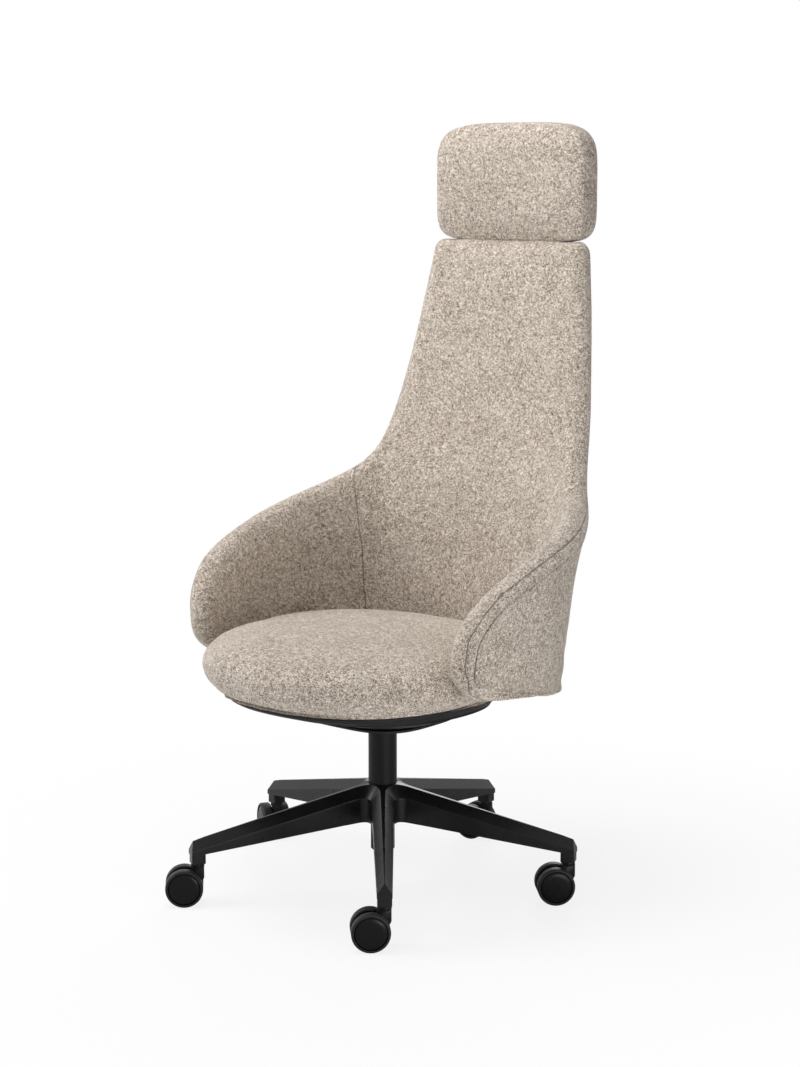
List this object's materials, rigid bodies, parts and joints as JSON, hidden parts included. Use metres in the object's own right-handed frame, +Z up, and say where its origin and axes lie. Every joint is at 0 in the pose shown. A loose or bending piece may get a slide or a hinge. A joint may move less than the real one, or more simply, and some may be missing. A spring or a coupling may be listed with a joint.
{
  "type": "office chair",
  "caption": "High-back office chair: round cushion, wrap-round upholstered back with arms, sliding headrest, tilt mechanism, gas column and star base on twin-wheel castors.",
  "frame": {"origin": "on the floor, on the column's axis", "axes": "+Z up, the sitter faces -Y, +X is to the sitter's left"},
  "size_m": [0.728, 0.7613, 1.3305],
  "materials": {
    "base_paint": "semi-gloss black",
    "castor_nylon": "semi-gloss black",
    "castor_tread": "satin black",
    "steel": "satin",
    "column_paint": "satin black",
    "bush_nylon": "matt black",
    "mechanism_paint": "satin black",
    "spring_rubber": "matt black",
    "trim_plastic": "satin black",
    "plywood": "bare ply",
    "wool": "melange wool weave"
  },
  "bodies": {
    "base": {"base_star": "base_paint", "castor_stems": "steel", "column_tube": "column_paint", "column_bush": "bush_nylon", "thrust_bearing": "steel"},
    "rod": {"piston_rod": "steel", "rod_clip": "steel"},
    "carrier": {"gas_cylinder": "column_paint", "tilt_housing": "mechanism_paint", "tilt_cover": "trim_plastic", "tilt_spring": "spring_rubber"},
    "button": {"release_button": "steel"},
    "height_paddle": {"height_lever": "trim_plastic"},
    "tilt_paddle": {"tilt_lever": "trim_plastic"},
    "seat": {"tilt_axle": "steel", "seat_plate": "mechanism_paint", "seat_board": "plywood", "seat_pan": "trim_plastic", "seat_cushion": "wool", "frame_screws": "steel", "back_bracket": "mechanism_paint", "back_shell": "plywood", "back_pad": "wool", "back_cover": "wool", "headrest_guide": "trim_plastic"},
    "headrest": {"headrest_blade": "steel", "headrest_board": "plywood", "headrest_cushion": "wool", "headrest_cover": "wool"},
    "castor_1": {"castor_1_housing": "castor_nylon", "castor_1_axle": "steel"},
    "castor_1_left": {"castor_1_wheel_left": "castor_nylon", "castor_1_tread_left": "castor_tread"},
    "castor_1_right": {"castor_1_wheel_right": "castor_nylon", "castor_1_tread_right": "castor_tread"},
    "castor_2": {"castor_2_housing": "castor_nylon", "castor_2_axle": "steel"},
    "castor_2_left": {"castor_2_wheel_left": "castor_nylon", "castor_2_tread_left": "castor_tread"},
    "castor_2_right": {"castor_2_wheel_right": "castor_nylon", "castor_2_tread_right": "castor_tread"},
    "castor_3": {"castor_3_housing": "castor_nylon", "castor_3_axle": "steel"},
    "castor_3_left": {"castor_3_wheel_left": "castor_nylon", "castor_3_tread_left": "castor_tread"},
    "castor_3_right": {"castor_3_wheel_right": "castor_nylon", "castor_3_tread_right": "castor_tread"},
    "castor_4": {"castor_4_housing": "castor_nylon", "castor_4_axle": "steel"},
    "castor_4_left": {"castor_4_wheel_left": "castor_nylon", "castor_4_tread_left": "castor_tread"},
    "castor_4_right": {"castor_4_wheel_right": "castor_nylon", "castor_4_tread_right": "castor_tread"},
    "castor_5": {"castor_5_housing": "castor_nylon", "castor_5_axle": "steel"},
    "castor_5_left": {"castor_5_wheel_left": "castor_nylon", "castor_5_tread_left": "castor_tread"},
    "castor_5_right": {"castor_5_wheel_right": "castor_nylon", "castor_5_tread_right": "castor_tread"}
  },
  "joints": [
    {"name": "seat_swivel", "type": "hinge", "parent": "base", "child": "rod", "pos_m": [0, 0, 0.07], "axis": [0, 0, 1], "continuous": true},
    {"name": "seat_height", "type": "slide", "parent": "rod", "child": "carrier", "axis": [0, 0, 1], "range_m": [0, 0.1]},
    {"name": "recline", "type": "hinge", "parent": "carrier", "child": "seat", "pos_m": [0, -0.038, 0.331], "axis": [-1, 0, 0], "range_deg": [0, 12], "stiffness_Nm_per_rad": 250, "springref_deg": -20.05},
    {"name": "height_paddle_lift", "type": "hinge", "parent": "carrier", "child": "height_paddle", "pos_m": [0, -0.024, 0.3155], "axis": [-1, 0, 0], "range_deg": [0, 7], "stiffness_Nm_per_rad": 2, "springref_deg": -5.73},
    {"name": "button_press", "type": "slide", "parent": "carrier", "child": "button", "axis": [0, 0, -1], "range_m": [0, 0.0033]},
    {"name": "tilt_paddle_turn", "type": "hinge", "parent": "carrier", "child": "tilt_paddle", "pos_m": [0, -0.044, 0.3155], "axis": [1, 0, 0], "range_deg": [0, 20]},
    {"name": "headrest_height", "type": "slide", "parent": "seat", "child": "headrest", "axis": [0, 0.1124, 0.9937], "range_m": [0, 0.06]},
    {"name": "castor_1_swivel", "type": "hinge", "parent": "base", "child": "castor_1", "pos_m": [0.21757, -0.25474, 0.06], "axis": [0, 0, 1], "continuous": true},
    {"name": "castor_1_left_roll", "type": "hinge", "parent": "castor_1", "child": "castor_1_left", "pos_m": [0.20073, -0.27099, 0.0325], "axis": [-0.6947, 0.7193, 0], "continuous": true},
    {"name": "castor_1_right_roll", "type": "hinge", "parent": "castor_1", "child": "castor_1_right", "pos_m": [0.20073, -0.27099, 0.0325], "axis": [-0.6947, 0.7193, 0], "continuous": true},
    {"name": "castor_2_swivel", "type": "hinge", "parent": "base", "child": "castor_2", "pos_m": [0.3095, 0.1282, 0.06], "axis": [0, 0, 1], "continuous": true},
    {"name": "castor_2_left_roll", "type": "hinge", "parent": "castor_2", "child": "castor_2_left", "pos_m": [0.29267, 0.11194, 0.0325], "axis": [-0.6947, 0.7193, 0], "continuous": true},
    {"name": "castor_2_right_roll", "type": "hinge", "parent": "castor_2", "child": "castor_2_right", "pos_m": [0.29267, 0.11194, 0.0325], "axis": [-0.6947, 0.7193, 0], "continuous": true},
    {"name": "castor_3_swivel", "type": "hinge", "parent": "base", "child": "castor_3", "pos_m": [-0.02628, 0.33397, 0.06], "axis": [0, 0, 1], "continuous": true},
    {"name": "castor_3_left_roll", "type": "hinge", "parent": "castor_3", "child": "castor_3_left", "pos_m": [-0.0496, 0.33193, 0.0325], "axis": [-0.0872, 0.9962, 0], "continuous": true},
    {"name": "castor_3_right_roll", "type": "hinge", "parent": "castor_3", "child": "castor_3_right", "pos_m": [-0.0496, 0.33193, 0.0325], "axis": [-0.0872, 0.9962, 0], "continuous": true},
    {"name": "castor_4_swivel", "type": "hinge", "parent": "base", "child": "castor_4", "pos_m": [-0.32574, 0.0782, 0.06], "axis": [0, 0, 1], "continuous": true},
    {"name": "castor_4_left_roll", "type": "hinge", "parent": "castor_4", "child": "castor_4_left", "pos_m": [-0.34559, 0.0906, 0.0325], "axis": [0.5299, 0.848, 0], "continuous": true},
    {"name": "castor_4_right_roll", "type": "hinge", "parent": "castor_4", "child": "castor_4_right", "pos_m": [-0.34559, 0.0906, 0.0325], "axis": [0.5299, 0.848, 0], "continuous": true},
    {"name": "castor_5_swivel", "type": "hinge", "parent": "base", "child": "castor_5", "pos_m": [-0.17504, -0.28563, 0.06], "axis": [0, 0, 1], "continuous": true},
    {"name": "castor_5_left_roll", "type": "hinge", "parent": "castor_5", "child": "castor_5_left", "pos_m": [-0.19187, -0.30189, 0.0325], "axis": [-0.6947, 0.7193, 0], "continuous": true},
    {"name": "castor_5_right_roll", "type": "hinge", "parent": "castor_5", "child": "castor_5_right", "pos_m": [-0.19187, -0.30189, 0.0325], "axis": [-0.6947, 0.7193, 0], "continuous": true}
  ],
  "couplings": [
    {"joint": "button_press", "follows": "height_paddle_lift", "m_per_rad": 0.027}
  ]
}
